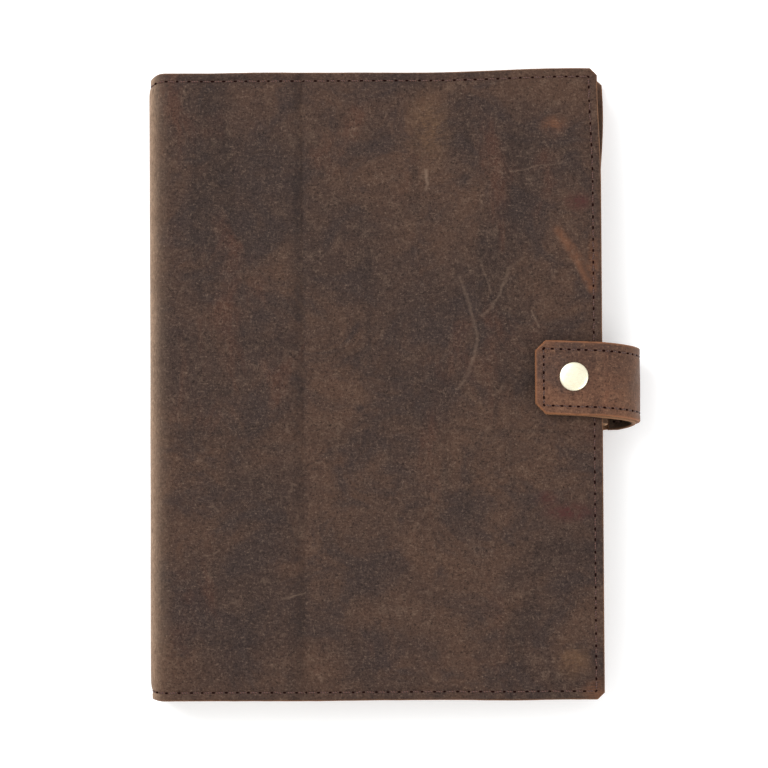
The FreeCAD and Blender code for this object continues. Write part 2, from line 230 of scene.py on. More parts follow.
class Sheet:
    """A strip of leather: a path across the spine, a width along it, and a thickness."""

    def __init__(self, path, low, high, thickness, free, clips, seed, spacing=1.3, extra_s=()):
        self.path = path
        self.low = low
        self.high = high
        self.thickness = thickness
        self.free = free
        self.clips = clips
        self.seed = seed
        self.spacing = spacing
        self.extra_s = extra_s
        # Out from the path with and without the inner face, rubbed share with painted highlight, and moves
        # along s and y.
        self.relief = self.shift = self.wear_and_highlight = lambda s, y, d: 0.0 * s
        self.slide = self.rise = lambda s, y: 0.0 * s
        self.waviness = 0.18
        self.raw_width = 0.5
        self.way = 1.0

    def border(self, s, y):
        """Distance from the nearest free edge."""
        far = 0.0 * s + 0.0 * y + 1e3
        start = s if self.free[0] else far
        stop = self.path.length - s if self.free[1] else far
        side_low = y - self.low
        side_high = self.high - y
        nearest = np.minimum(np.minimum(start, stop), np.minimum(side_low, side_high))
        for end, size in zip((start, stop), self.clips):
            if size:
                for side in (side_low, side_high):
                    nearest = np.minimum(nearest, (end + side - size) / math.sqrt(2.0))
        return nearest

    def snap(self, s, y):
        """Pull the corner points back onto the clipped corner."""
        for which, size in enumerate(self.clips):
            if not size:
                continue
            for up in (False, True):
                end = s if which == 0 else self.path.length - s
                side = self.high - y if up else y - self.low
                short = np.maximum(0.0, size - end - side) / 2.0
                s = s + short * (1 if which == 0 else -1)
                y = y + short * (-1 if up else 1)
        return s, y

    def wander(self, s, y, d):
        """Small unevenness of a hand-cut edge, along the sheet's plane."""
        near = 1.0 - smooth(d, 0.0, 6.0)
        ragged = 0.16 * waves(s, y, self.seed + 6, 6.0) * (1.0 - smooth(d, 0.0, 1.5))
        return (waves(s, y, self.seed + 5, 38.0) * near + ragged) * self.waviness

    def moved(self, s, y, d):
        """Where a place on the strip lies once its edges wander and lean."""
        return s + self.slide(s, y), y + self.wander(s, y, d) + self.rise(s, y)

    def surface(self, s, y, out=0.0):
        """A point on or above the outer face, with all its relief."""
        d = self.border(s, y)
        lift = self.relief(s, y, d) + self.shift(s, y, d)
        return self.path.place(*self.moved(s, y, d), lift + out)

    def build(self, name):
        """The whole strip as one closed mesh with rounded edges."""
        s_lines = grid_lines(self.path.length, self.spacing, self.free[0], self.free[1], self.extra_s)
        y_lines = grid_lines(self.high - self.low, self.spacing, True, True) + self.low
        rows = len(s_lines)
        columns = len(y_lines)
        s, y = np.meshgrid(s_lines, y_lines, indexing="ij")
        s, y = self.snap(s, y)
        d = np.maximum(self.border(s, y), 0.0)
        turn = np.maximum(EDGE_ROUND - d, 0.0)
        drop = EDGE_ROUND - np.sqrt(np.maximum(EDGE_ROUND ** 2 - turn ** 2, 0.0))
        relief = self.relief(s, y, d)
        shift = self.shift(s, y, d)
        place = self.moved(s, y, d)
        outer = self.path.place(*place, relief + shift - drop)
        inner = self.path.place(*place, shift - self.thickness + drop)
        count = rows * columns
        points = np.concatenate([outer.reshape(-1, 3), inner.reshape(-1, 3)])
        u = s.reshape(-1) * self.way
        v = y.reshape(-1)
        uvs = np.concatenate([np.column_stack([u, v]), np.column_stack([u + INNER_FACE, v])])
        edge = np.tile(1.0 - smooth(d.reshape(-1), 0.0, self.raw_width), 2)
        wear_and_highlight = np.concatenate([self.wear_and_highlight(s, y, d).reshape(-1), np.zeros(count)])
        index = np.arange(count).reshape(rows, columns)
        a, b, c, e = index[:-1, :-1], index[1:, :-1], index[1:, 1:], index[:-1, 1:]
        top = np.stack([a, b, c, e], axis=-1).reshape(-1, 4)
        under = np.stack([a, e, c, b], axis=-1).reshape(-1, 4) + count
        ring = np.concatenate([index[:, 0], index[-1, 1:], index[-2::-1, -1], index[0, -2:0:-1]])
        after = np.roll(ring, -1)
        wall = np.stack([after, ring, ring + count, after + count], axis=-1)
        faces = np.concatenate([top, under, wall])
        piece = make_mesh(name, points, faces, uvs, {"edge": edge, "wear_and_highlight": wear_and_highlight})
        tidy_mesh(piece)
        return piece


def tidy_mesh(piece):
    """Merge the points that met on clipped corners and turn all faces outward."""
    work = bmesh.new()
    work.from_mesh(piece.data)
    bmesh.ops.remove_doubles(work, verts=work.verts, dist=2e-6)
    bmesh.ops.dissolve_degenerate(work, edges=work.edges, dist=1e-6)
    bmesh.ops.recalc_face_normals(work, faces=work.faces)
    work.to_mesh(piece.data)
    work.free()
    shade(piece.data, True)
    piece.data.update()


def resample(corners, pitch, dice):
    """Hand-sewn steps along a polyline of (s, y) corners, with a hole at every corner."""
    corners = np.array(corners, float)
    steps = np.diff(corners, axis=0)
    lengths = np.hypot(steps[:, 0], steps[:, 1])
    total = np.concatenate([[0.0], np.cumsum(lengths)])
    marks = [0.0]
    for start, stop in zip(total[:-1], total[1:]):
        count = max(1, int(round((stop - start) / pitch)))
        even = np.linspace(start, stop, count + 1)[1:]
        even[:-1] += dice.normal(0.0, 0.05 * pitch, count - 1)
        marks.extend(even)
    return corners, total, np.array(marks)


def along(corners, total, distance):
    """The place on a polyline at a distance from its start."""
    s = np.interp(distance, total, corners[:, 0])
    y = np.interp(distance, total, corners[:, 1])
    return s, y


def stacked_rings(rows, count):
    """Faces of a closed solid whose points are rows of rings, from the bottom up."""
    faces = []
    for row in range(rows - 1):
        for k in range(count):
            low = row * count
            following = (k + 1) % count
            faces.append((low + k, low + following, low + count + following, low + count + k))
    faces.append(tuple(range(count - 1, -1, -1)))
    faces.append(tuple((rows - 1) * count + k for k in range(count)))
    return faces


def shifted(faces, base):
    """The same faces on points that start at base."""
    return [tuple(base + i for i in face) for face in faces]


def thread_shape(sheet, corners, total, marks, dice, radius, rise, face, depth):
    """Points, faces and texture coordinates of one stitch between each two holes."""
    points, faces, uvs = [], [], []
    share = np.linspace(0.0, 1.0, STITCH_POINTS)
    swell = np.sin(np.pi * share)
    sink = STITCH_SINK * (np.abs(2 * share - 1) ** 6)
    thick = radius * (0.72 + 0.28 * swell ** 0.5)
    tube = stacked_rings(STITCH_POINTS, STITCH_SIDES)
    for start, stop in zip(marks[:-1], marks[1:]):
        lean = dice.normal(0, 0.10)
        s, y = along(corners, total, start + (stop - start) * (STITCH_START + STITCH_SPAN * share))
        height = -0.55 * radius + (rise + dice.normal(0, 0.03)) * swell ** 0.55 - sink
        centre = sheet.surface(s, y, -depth)
        normal = sheet.path.normal(s) * face
        tangent = np.gradient(centre, axis=0)
        tangent /= np.linalg.norm(tangent, axis=1)[:, None]
        across = np.cross(tangent, normal)
        across /= np.linalg.norm(across, axis=1)[:, None]
        centre = centre + normal * height[:, None] + across * (lean * np.cos(np.pi * share))[:, None]
        base = len(points)
        for step in range(STITCH_POINTS):
            for side in range(STITCH_SIDES):
                angle = 2 * math.pi * side / STITCH_SIDES
                sideways = across[step] * math.cos(angle) * STITCH_WIDE
                offset = sideways + normal[step] * math.sin(angle) * STITCH_TALL
                points.append(centre[step] + offset * thick[step])
                uvs.append((start + (stop - start) * share[step], side * 0.25))
        faces.extend(shifted(tube, base))
    return points, faces, uvs


def hole_shape(sheet, corners, total, marks, dice, hole, face, depth):
    """Points and faces of small dark dishes over the needle holes, painted shade where the thread goes down
    into the leather.
    """
    points, faces = [], []
    for mark in marks:
        reach = hole[0] * dice.uniform(0.85, 1.15)
        width = hole[1] * dice.uniform(0.85, 1.15)
        ends = np.array([max(0.0, mark - 0.05), min(total[-1], mark + 0.05)])
        s, y = along(corners, total, ends)
        spots = sheet.surface(s, y, -depth)
        normal = sheet.path.normal(s[:1])[0] * face
        tangent = spots[1] - spots[0]
        tangent /= np.linalg.norm(tangent)
        across = np.cross(tangent, normal)
        middle = (spots[0] + spots[1]) / 2 + normal * HOLE_LIFT
        base = len(points)
        points.append(middle)
        for side in range(HOLE_SIDES):
            angle = 2 * math.pi * side / HOLE_SIDES
            rim = tangent * math.cos(angle) * reach + across * math.sin(angle) * width
            points.append(middle + rim - normal * HOLE_DISH)
        for side in range(HOLE_SIDES):
            faces.append((base, base + 1 + side, base + 1 + (side + 1) % HOLE_SIDES))
    return points, faces


def stitch_run(name, sheet, corners, pitch, radius, rise, hole, seed, face=1.0, depth=0.0):
    """Separate stitches along a seam, and dark dishes of painted shade over the holes they go down into."""
    dice = np.random.default_rng(seed)
    corners, total, marks = resample(corners, pitch, dice)
    thread = make_mesh(name, *thread_shape(sheet, corners, total, marks, dice, radius, rise, face, depth))
    tidy_mesh(thread)
    hole_shades = make_mesh(name + "_hole_shades", *hole_shape(sheet, corners, total, marks, dice, hole, face, depth))
    tidy_mesh(hole_shades)
    return thread, hole_shades


def slab(x_lines, y_low, y_high, z_low, z_high):
    """Points and faces of a slab whose lower and upper faces rise and fall with x."""
    points = []
    for x, low, high in zip(x_lines, z_low, z_high):
        points.extend([(x, y_low, low), (x, y_high, low), (x, y_high, high), (x, y_low, high)])
    faces = [(0, 1, 2, 3)]
    for k in range(len(x_lines) - 1):
        a = 4 * k
        b = a + 4
        for side in range(4):
            following = (side + 1) % 4
            faces.append((a + side, b + side, b + following, a + following))
    last = 4 * (len(x_lines) - 1)
    faces.append((last + 3, last + 2, last + 1, last))
    return points, faces


def lathe(name, outline, centre, segments=96):
    """A round piece from (radius, height) pairs, from its rim up to its middle."""
    points = []
    for radius, height in outline:
        for k in range(segments):
            angle = 2 * math.pi * k / segments
            x = centre[0] + radius * math.cos(angle)
            y = centre[1] + radius * math.sin(angle)
            points.append((x, y, height))
    return make_mesh(name, points, stacked_rings(len(outline), segments))


# ---- materials ----

class Paint:
    """Short names for building a material from nodes."""

    def __init__(self, name):
        self.material = bpy.data.materials.new(name)
        self.material.use_nodes = True
        self.tree = self.material.node_tree
        self.shader = [n for n in self.tree.nodes if n.type == "BSDF_PRINCIPLED"][0]

    def put(self, socket, value):
        if isinstance(value, bpy.types.NodeSocket):
            self.tree.links.new(value, socket)
        elif isinstance(value, (tuple, list)) and len(value) == 3 and socket.type == "RGBA":
            socket.default_value = (*value, 1.0)
        else:
            socket.default_value = value

    def set(self, name, value):
        self.put(self.shader.inputs[name], value)

    def node(self, kind, **sockets):
        """A new node with its named sockets set or linked."""
        made = self.tree.nodes.new("ShaderNode" + kind)
        for name, value in sockets.items():
            self.put(made.inputs[name.replace("_", " ")], value)
        return made

    def math(self, kind, a, b=0.0, c=0.0, clamp=False):
        node = self.node("Math")
        node.operation = kind
        node.use_clamp = clamp
        for socket, value in zip(node.inputs, (a, b, c)):
            self.put(socket, value)
        return node.outputs[0]

    def times(self, a, b):
        return self.math("MULTIPLY", a, b)

    def minus(self, a, b):
        return self.math("SUBTRACT", a, b)

    def hypotenuse(self, a, b):
        return self.math("SQRT", self.math("MULTIPLY_ADD", a, a, self.times(b, b)))

    def noise(self, vector, scale, detail=4.0, roughness=0.55, distortion=0.0):
        return self.node("TexNoise", Vector=vector, Scale=scale, Detail=detail, Roughness=roughness,
                         Distortion=distortion).outputs["Fac"]

    def level(self, value, low, high, to_low=0.0, to_high=1.0):
        """A smooth step from to_low to to_high as the value goes from low to high."""
        node = self.node("MapRange", Value=value, From_Min=low, From_Max=high, To_Min=to_low, To_Max=to_high)
        node.interpolation_type = "SMOOTHSTEP"
        return node.outputs["Result"]

    def blend(self, share, first, second):
        node = self.node("Mix")
        node.data_type = "RGBA"
        for place, value in ((0, share), (6, first), (7, second)):
            self.put(node.inputs[place], value)
        return node.outputs[2]

    def attribute(self, name):
        node = self.node("Attribute")
        node.attribute_name = name
        return node.outputs["Fac"]

    def sheet(self, stretch=(1.0, 1.0), offset=0.0, turn=0.0):
        """Flat sheet coordinates in metres, stretched for streaky textures."""
        where = self.node("UVMap")
        where.uv_map = "sheet"
        return self.node("Mapping", Vector=where.outputs[0], Scale=(*stretch, 1.0), Rotation=(0.0, 0.0, turn),
                         Location=(offset, offset * 0.7, offset * 0.3)).outputs[0]

    def in_the_round(self, stretch=(1.0, 1.0, 1.0)):
        """Place on the object in metres, for pieces with no sheet coordinates."""
        where = self.node("TexCoord").outputs["Object"]
        return self.node("Mapping", Vector=where, Scale=stretch).outputs[0]

    def split(self, vector):
        return self.node("SeparateXYZ", Vector=vector).outputs[:]

    def bump(self, height, strength, distance, before=None):
        node = self.node("Bump", Height=height, Strength=strength, Distance=distance)
        if before is not None:
            self.put(node.inputs["Normal"], before)
        return node.outputs[0]

    def stroke(self, u, v, points, width):
        """A soft line through a few points on the sheet, in metres."""
        best = None
        for (u0, v0), (u1, v1) in zip(points[:-1], points[1:]):
            du, dv = u1 - u0, v1 - v0
            square = du * du + dv * dv
            pu, pv = self.minus(u, u0), self.minus(v, v0)
            dot = self.math("MULTIPLY_ADD", pu, du, self.times(pv, dv))
            share = self.math("DIVIDE", dot, square, clamp=True)
            eu = self.minus(pu, self.times(share, du))
            ev = self.minus(pv, self.times(share, dv))
            far = self.hypotenuse(eu, ev)
            best = far if best is None else self.math("MINIMUM", best, far)
        return self.level(best, 0.0, width, 1.0, 0.0)

    def patch(self, u, v, middle, reach):
        """A soft oval on the sheet, in metres."""
        pu = self.math("DIVIDE", self.minus(u, middle[0]), reach[0])
        pv = self.math("DIVIDE", self.minus(v, middle[1]), reach[1])
        return self.level(self.hypotenuse(pu, pv), 0.0, 1.0, 1.0, 0.0)


COVER_LIGHT = (0.215, 0.145, 0.103)
RAW_EDGE = (0.235, 0.112, 0.056)
TAN = (0.20, 0.105, 0.050)
ORANGE = (0.20, 0.080, 0.038)
DARK_RED = (0.056, 0.0165, 0.0155)
FLESH = (0.26, 0.15, 0.085)

# Noise layers of the hide: how the sheet is stretched, the offset that keeps the layers apart, then
# features per metre, detail, roughness, distortion and turn in radians.
HIDE_LAYERS = {
    "broad": ((1.0, 1.0), 0.0, 21.0, 5.0, 0.62, 0.5, 0.0),
    "middle": ((1.0, 1.2), 3.1, 48.0, 6.0, 0.66, 0.7, 0.0),
    "drift": ((1.6, 0.7), 6.4, 30.0, 5.0, 0.6, 0.6, 0.0),
    "small": ((1.0, 1.0), 7.7, 230.0, 6.0, 0.7, 0.4, 0.0),
    "grain": ((1.0, 1.0), 1.3, 1350.0, 4.0, 0.75, 0.3, 0.0),
    "fibre": ((3.2, 0.8), 9.2, 620.0, 4.0, 0.72, 1.0, 0.12),
    "weft": ((0.7, 3.0), 4.9, 640.0, 4.0, 0.72, 1.0, -0.10),
    "lengthwise": ((2.6, 0.35), 8.1, 34.0, 5.0, 0.62, 0.4, 0.0),
    "crosswise": ((0.35, 2.6), 2.7, 34.0, 5.0, 0.62, 0.4, 0.0),
    "vein": ((1.0, 0.55), 5.5, 75.0, 5.0, 0.62, 1.5, 0.3),
    "wobble": ((1.0, 1.0), 2.2, 120.0, 3.0, 0.5, 0.0, 0.0),
}

# How strongly each kind of marking shows on the hide.
STREAKS = 0.40
PALE_CLOUDS = 0.34
CREASES = 0.20
STRANDS = 0.42
SPECKS = 0.46
PITS = 0.90
HIDE_SHINE = 0.09


def darker(colour, share):
    return tuple(share * c for c in colour)


def leather(name, dark, warm, cool, light, raw=RAW_EDGE, marks=(), patches=(),
            gloss=0.56, seed=0.0, scuffs=1.0, rubbed_and_highlit=None, shadow_band=None):
    """Oiled, distressed leather: mottled colour, rubbed streaks, fine grain, pale cut edges, rubbed folds
    with a painted highlight.
    """
    paint = Paint(name)
    level = paint.level
    times = paint.times

    def larger(a, b):
        return paint.math("MAXIMUM", a, b)

    def layer(key):
        stretch, offset, scale, detail, roughness, distortion, turn = HIDE_LAYERS[key]
        return paint.noise(paint.sheet(stretch, seed + offset, turn), scale, detail, roughness, distortion)

    u, v, _ = paint.split(paint.sheet())
    middle, drift, small, grain, fibre, weft = [
        layer(key) for key in ("middle", "drift", "small", "grain", "fibre", "weft")]
    colour = paint.blend(level(layer("broad"), 0.38, 0.62), dark, warm)
    colour = paint.blend(level(middle, 0.44, 0.66, 0.0, 0.75), colour, cool)
    # Long soft streaks along and across the hide, from rolling and handling.
    streak = larger(level(layer("lengthwise"), 0.50, 0.70), level(layer("crosswise"), 0.52, 0.72))
    colour = paint.blend(times(streak, STREAKS * scuffs), colour, darker(cool, 0.55))
    reddish = tuple(c * k for c, k in zip(warm, (1.22, 0.92, 0.85)))
    colour = paint.blend(level(drift, 0.54, 0.72, 0.0, 0.5), colour, reddish)
    lift = times(level(small, 0.50, 0.72), level(middle, 0.38, 0.58, 0.8, 0.15))
    colour = paint.blend(times(lift, PALE_CLOUDS * scuffs), colour, light)
    # Thin pale creases where the oil has been pulled out of the hide.
    ridge = paint.math("ABSOLUTE", paint.minus(layer("vein"), 0.5))
    crease = times(level(ridge, 0.0, 0.010, 1.0, 0.0), level(drift, 0.48, 0.62))
    colour = paint.blend(times(crease, CREASES * scuffs), colour, light)
    strands = larger(level(fibre, 0.54, 0.76), level(weft, 0.54, 0.76))
    colour = paint.blend(times(strands, STRANDS), colour, light)
    colour = paint.blend(times(level(grain, 0.55, 0.72), SPECKS), colour, light)
    pits = larger(level(grain, 0.50, 0.30), level(weft, 0.44, 0.26))
    colour = paint.blend(times(pits, PITS), colour, darker(dark, 0.28))
    # A painted shade band across the sheet, where one is given.
    if shadow_band is not None:
        place, width, strength = shadow_band
        across = paint.math("ABSOLUTE", paint.minus(u, place))
        band = times(level(across, 0.0, width, 1.0, 0.0), level(middle, 0.36, 0.58, 0.35, 1.0))
        colour = paint.blend(times(band, strength), colour, darker(cool, 0.45))
    for place, reach, tint, strength in patches:
        broken_up = times(level(small, 0.32, 0.56, 0.25, 1.0), level(weft, 0.34, 0.58, 0.25, 1.0))
        patch = times(paint.patch(u, v, place, reach), broken_up)
        colour = paint.blend(times(patch, strength), colour, tint)
    shift = times(paint.minus(layer("wobble"), 0.5), 0.004)
    for points, width, strength, tint in marks:
        line = paint.stroke(paint.math("ADD", u, shift), paint.minus(v, shift), points, width)
        broken = times(line, level(small, 0.34, 0.56, 0.35, 1.0))
        colour = paint.blend(times(broken, strength), colour, tint)
    inside = paint.math("GREATER_THAN", u, INNER_FACE_FROM * MM)
    nap = paint.blend(level(fibre, 0.35, 0.65), darker(FLESH, 0.72), FLESH)
    colour = paint.blend(inside, colour, nap)
    # Rubbing plus a painted highlight along the folds, from the per-point fold share.
    patchy = times(level(fibre, 0.30, 0.66, 0.45, 1.0), level(middle, 0.30, 0.56, 0.70, 1.0))
    colour = paint.blend(times(paint.attribute("wear_and_highlight"), patchy), colour, rubbed_and_highlit or raw)
    cut = times(paint.attribute("edge"), level(small, 0.30, 0.60, 0.55, 1.0))
    colour = paint.blend(cut, colour, raw)
    paint.set("Base Color", colour)
    paint.set("Roughness", level(small, 0.3, 0.7, gloss - 0.07, gloss + 0.12))
    paint.set("Specular IOR Level", HIDE_SHINE)
    coarse = paint.bump(small, 0.35, 0.0004)
    fine = paint.bump(grain, 0.45, 0.00016, coarse)
    paint.set("Normal", paint.bump(fibre, 0.30, 0.00018, fine))
    return paint.material


def plain(name, colour, roughness, shine=0.5, glow=0.0):
    """One colour with no pattern."""
    paint = Paint(name)
    paint.set("Emission Color", (1.0, 1.0, 1.0))
    paint.set("Emission Strength", glow)
    paint.set("Specular IOR Level", shine)
    paint.set("Base Color", colour)
    paint.set("Roughness", roughness)
    return paint.material


# Along a cover path: where the flat panel starts, what x = 0 reads there, and the pocket's mouth.
FLAT_START = CLOSED / 2.0 - FOLD + FOLD * math.pi / 2.0
FRONT_SHIFT = FLAT_START + HALF_DEPTH - FOLD
PANEL_MOUTH = FRONT_SHIFT + POCKET_MOUTH


def on_front(points):
    """Cover positions in millimetres as sheet coordinates in metres."""
    return [((x + FRONT_SHIFT) * MM, y * MM) for x, y in points]


def scratch(points, width, strength, tint=COVER_LIGHT):
    return on_front(points), width * MM, strength, tint


# Scratches of this worn front panel: (x, y) places on the cover, width and strength.
front_marks = [
    scratch([(30, 38), (33, 29), (36, 17), (33, 4), (28, -1)], 1.0, 0.20),
    scratch([(37, 44), (41, 32)], 0.7, 0.18),
    scratch([(38, 24), (44, 32), (47, 41), (52, 45)], 0.9, 0.22),
    scratch([(55, 26), (58, 20)], 0.6, 0.28),
    scratch([(18, 76), (18, 69)], 1.0, 0.42),
    scratch([(48, 75), (66, 78)], 0.5, 0.20),
    scratch([(-61, -60), (-55, -58)], 0.5, 0.26),
    scratch([(-58, -42), (-56, -44)], 0.8, 0.32),
    scratch([(-33, -75), (-26, -72)], 0.5, 0.24),
    scratch([(65, 54), (71, 44), (76, 34)], 2.4, 0.36, ORANGE),
    scratch([(69, 50), (76, 40)], 1.6, 0.22, ORANGE),
]


def spot(x, y, wide, tall, tint, strength):
    return (on_front([(x, y)])[0], (wide * MM, tall * MM), tint, strength)


front_patches = [
    spot(19, 91, 11, 19, TAN, 0.30),
    spot(64, 91, 7, 5, ORANGE, 0.45),
    spot(77, 42, 3, 16, ORANGE, 0.50),
    spot(72, 64, 7, 4.5, DARK_RED, 0.95),
    spot(60, -40, 6, 4, DARK_RED, 0.7),
    spot(68, -45, 13, 5, DARK_RED, 0.95),
    spot(69, -97, 9, 9, TAN, 0.35),
    spot(78, -108, 8, 7, ORANGE, 0.55),
]

# The cover's pale fold colour is rubbing plus a painted highlight.
COVER = dict(dark=(0.0400, 0.0236, 0.0186), warm=(0.066, 0.0352, 0.0235), cool=(0.0315, 0.0212, 0.0194),
             light=COVER_LIGHT, rubbed_and_highlit=(0.46, 0.31, 0.21))
# Painted shade in a soft dark band where the pocket's edge presses into the front panel: place, width and
# strength.
POCKET_SHADOW = ((FRONT_SHIFT - 27.4) * MM, 0.0036, 0.42)
cover_front_leather = leather("cover_front", marks=front_marks, patches=front_patches,
                              shadow_band=POCKET_SHADOW, **COVER)
cover_back_leather = leather("cover_back", **COVER)
pocket_leather = leather("pocket", dark=(0.055, 0.034, 0.024), warm=(0.073, 0.042, 0.028),
                         cool=(0.045, 0.030, 0.024), light=(0.17, 0.10, 0.065), seed=21.0, scuffs=0.5)
# The strap's pale fold colour is rubbing plus a painted highlight.
strap_leather = leather("strap", dark=(0.074, 0.037, 0.025), warm=(0.128, 0.058, 0.034),
                        cool=(0.062, 0.038, 0.031), light=(0.32, 0.175, 0.105), raw=(0.27, 0.110, 0.050),
                        rubbed_and_highlit=(0.26, 0.14, 0.085), seed=31.0, gloss=0.5)
lining_leather = leather("lining", dark=(0.045, 0.028, 0.020), warm=(0.070, 0.042, 0.028),
                         cool=(0.040, 0.032, 0.028), light=(0.15, 0.09, 0.06), seed=41.0, scuffs=0.4)
pen_leather = leather("pen_loop_leather", dark=(0.10, 0.055, 0.034), warm=(0.15, 0.075, 0.042),
                      cool=(0.07, 0.045, 0.035), light=(0.30, 0.17, 0.10), raw=(0.50, 0.28, 0.15),
                      seed=51.0, scuffs=0.6)


# Radians of the thread's twist to a metre of sheet coordinate, along the stitch and round it.
TWIST_ALONG = 5200.0
TWIST_ROUND = 3141.6


def thread_material(name, colour, dark):
    """Waxed two-strand thread: slanting strands round each stitch, with painted shade in the grooves between
    them.
    """
    paint = Paint(name)
    u, v, _ = paint.split(paint.sheet())
    slant = paint.math("MULTIPLY_ADD", u, TWIST_ALONG, paint.times(v, TWIST_ROUND))
    # The dark colour is painted shade in the grooves between the strands.
    strand = paint.level(paint.math("SINE", slant), -0.9, 0.5)
    paint.set("Base Color", paint.blend(strand, dark, colour))
    paint.set("Roughness", 0.55)
    paint.set("Normal", paint.bump(strand, 0.5, 0.00015))
    return paint.material


cover_thread = thread_material("cover_thread", (0.092, 0.035, 0.023), (0.036, 0.014, 0.010))
strap_thread = thread_material("strap_thread_look", (0.095, 0.038, 0.025), (0.030, 0.013, 0.009))
# Painted shade inside the needle holes.
hole_shade = plain("needle_hole_shade", (0.010, 0.0035, 0.003), 1.0, shine=0.0)


def page_edges(name):
    """Cream paper with a faint cloudiness; its cut edges show painted shade between the leaves as fine dark
    lines.
    """
    look = Paint(name)
    lines = look.noise(look.in_the_round((9.0, 9.0, 5200.0)), 1.0, 3.0, 0.6)
    facing = look.node("NewGeometry").outputs["Normal"]
    upright = look.level(look.math("ABSOLUTE", look.split(facing)[2]), 0.85, 0.35)
    # Painted shade in the gaps between the leaves, on the upright cut edges.
    leaf_gap_shade = look.times(upright, look.level(lines, 0.58, 0.40))
    pulp = look.noise(look.in_the_round(), 420.0, 6.0, 0.7)
    face = look.blend(look.level(pulp, 0.35, 0.65), (0.545, 0.495, 0.400), (0.570, 0.520, 0.425))
    look.set("Base Color", look.blend(look.times(leaf_gap_shade, 0.6), face, (0.24, 0.205, 0.155)))
    look.set("Roughness", 0.9)
    look.set("Normal", look.bump(look.noise(look.in_the_round(), 1800.0, 4.0), 0.15, 0.0001))
    return look.material


def card(name, dark, light):
    """Dyed card: pressed fibres in two near shades."""
    look = Paint(name)
    fibres = look.noise(look.in_the_round((1.0, 2.2, 1.0)), 700.0, 5.0, 0.7, 0.8)
    cloud = look.noise(look.in_the_round(), 35.0, 4.0, 0.6)
    clouded = look.level(cloud, 0.3, 0.7, 0.0, 0.4)
    share = look.math("MULTIPLY_ADD", look.level(fibres, 0.38, 0.66), 0.6, clouded)
    look.set("Base Color", look.blend(share, dark, light))
    look.set("Roughness", look.level(fibres, 0.3, 0.7, 0.62, 0.8))
    look.set("Normal", look.bump(fibres, 0.25, 0.00012))
    return look.material


def metal(name, colour, worn, roughness):
    """Plated metal with hairline rubbing and slightly duller patches."""
    look = Paint(name)
    hair = look.noise(look.in_the_round((1.0, 9.0, 1.0)), 900.0, 3.0, 0.6, 0.3)
    dull = look.noise(look.in_the_round(), 420.0, 4.0, 0.6)
    look.set("Base Color", look.blend(look.level(dull, 0.50, 0.72, 0.0, 0.6), colour, worn))
    look.set("Roughness", look.level(hair, 0.35, 0.65, roughness - 0.05, roughness + 0.09))
    look.set("Metallic", 1.0)
    look.set("Normal", look.bump(hair, 0.12, 0.00005))
    return look.material


brass = metal("brass_polished", (0.93, 0.78, 0.42), (0.80, 0.62, 0.30), 0.24)
# The dome's brass is painted paler than the rest, standing for the strong highlight on it.
cap_brass_highlit = metal("brass_cap_highlit", (1.0, 0.94, 0.72), (0.97, 0.87, 0.60), 0.32)
steel = metal("spring_steel_look", (0.60, 0.60, 0.60), (0.50, 0.49, 0.47), 0.3)
paper = page_edges("notebook_paper")
board = card("notebook_board", (0.026, 0.022, 0.020), (0.052, 0.045, 0.041))


def dress(piece, material):
    piece.data.materials.clear()
    piece.data.materials.append(material)
    return piece


def follow_front(piece):
    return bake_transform(piece)


def follow_back(piece):
    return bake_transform(piece)


def follow_strap(piece):
    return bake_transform(piece)


# ---- outer cover ----

def cover_path(top):
    """From the middle of the spine round the fold to the fore-edge."""
    turn = -1 if top else 1
    level = CLOSED if top else 0.0
    bend = arc((-HALF_DEPTH + FOLD, level + turn * FOLD), FOLD, 180, 180 + turn * 90)
    return Path([(-HALF_DEPTH, CLOSED / 2.0), *bend, (HALF_DEPTH, level)], turn)


def spine_share(s):
    """1 on the spine and its bend, 0 on the flat panel."""
    return 1.0 - smooth(s, FLAT_START - FOLD, FLAT_START + FOLD)


def pinch(s, y):
    """The spine's corners are drawn in where the seam goes round them."""
    return -0.5 * smooth(np.abs(y), HALF_HEIGHT - 7.5, HALF_HEIGHT - 0.5) * spine_share(s)


def rounded_corner(s, y):
    """The head and tail edges curve in as they come round the spine."""
    draw_in = np.where(y > 0.0, HEAD_DRAW_IN, TAIL_DRAW_IN)
    return -np.sign(y) * draw_in * (1.0 - smooth(s, 8.5, 15.5)) * smooth(np.abs(y), 99.0, HALF_HEIGHT)


def seam_groove(distance, depth, width):
    """The stitches pull the leather down into a soft groove."""
    return -depth * bump_line(distance - SEAM_INSET, width)


def hide_swell(s, d, swell):
    """Slow unevenness, held flat at the free edges and at the spine's middle."""
    return swell * smooth(d, 1.0, 9.0) * smooth(s, 2.0, 16.0)


def front_relief(s, y, d):
    mouth = s - PANEL_MOUTH
    step = 0.16 * smooth(mouth, -0.4, 2.2) - 0.24 * bump_line(mouth + 0.6, 0.55)
    swell = 0.20 * waves(s, y, 3, 64.0) + 0.05 * waves(s, y, 4, 17.0)
    return (seam_groove(d, 0.34, 0.75) + step * smooth(d, 0.0, 3.0)
            + hide_swell(s, d, swell) + pinch(s, y))


def back_relief(s, y, d):
    swell = 0.10 * waves(s, y, 13, 64.0) - 0.14
    return seam_groove(d, 0.34, 0.75) + hide_swell(s, d, swell) + pinch(s, y)


def fold_wear_and_highlight(s, y, d):
    """Rubbed pale along the fold, with a painted highlight on its rounded bend, strongest on its outer bend,
    fading onto the panel.
    """
    band = 0.80 * (1.0 - smooth(s, 8.2, FLAT_START + 0.6)) + 0.14 * (1.0 - smooth(s, 12.0, 19.0))
    return band * (0.28 + 0.72 * smooth(s, 2.0, 10.5))


def front_rise(s, y):
    """The front panel's head runs up slightly towards the fore-edge."""
    return FRONT_RISE * smooth(s, 110.0, 165.0) * smooth(y, 0.0, HALF_HEIGHT)


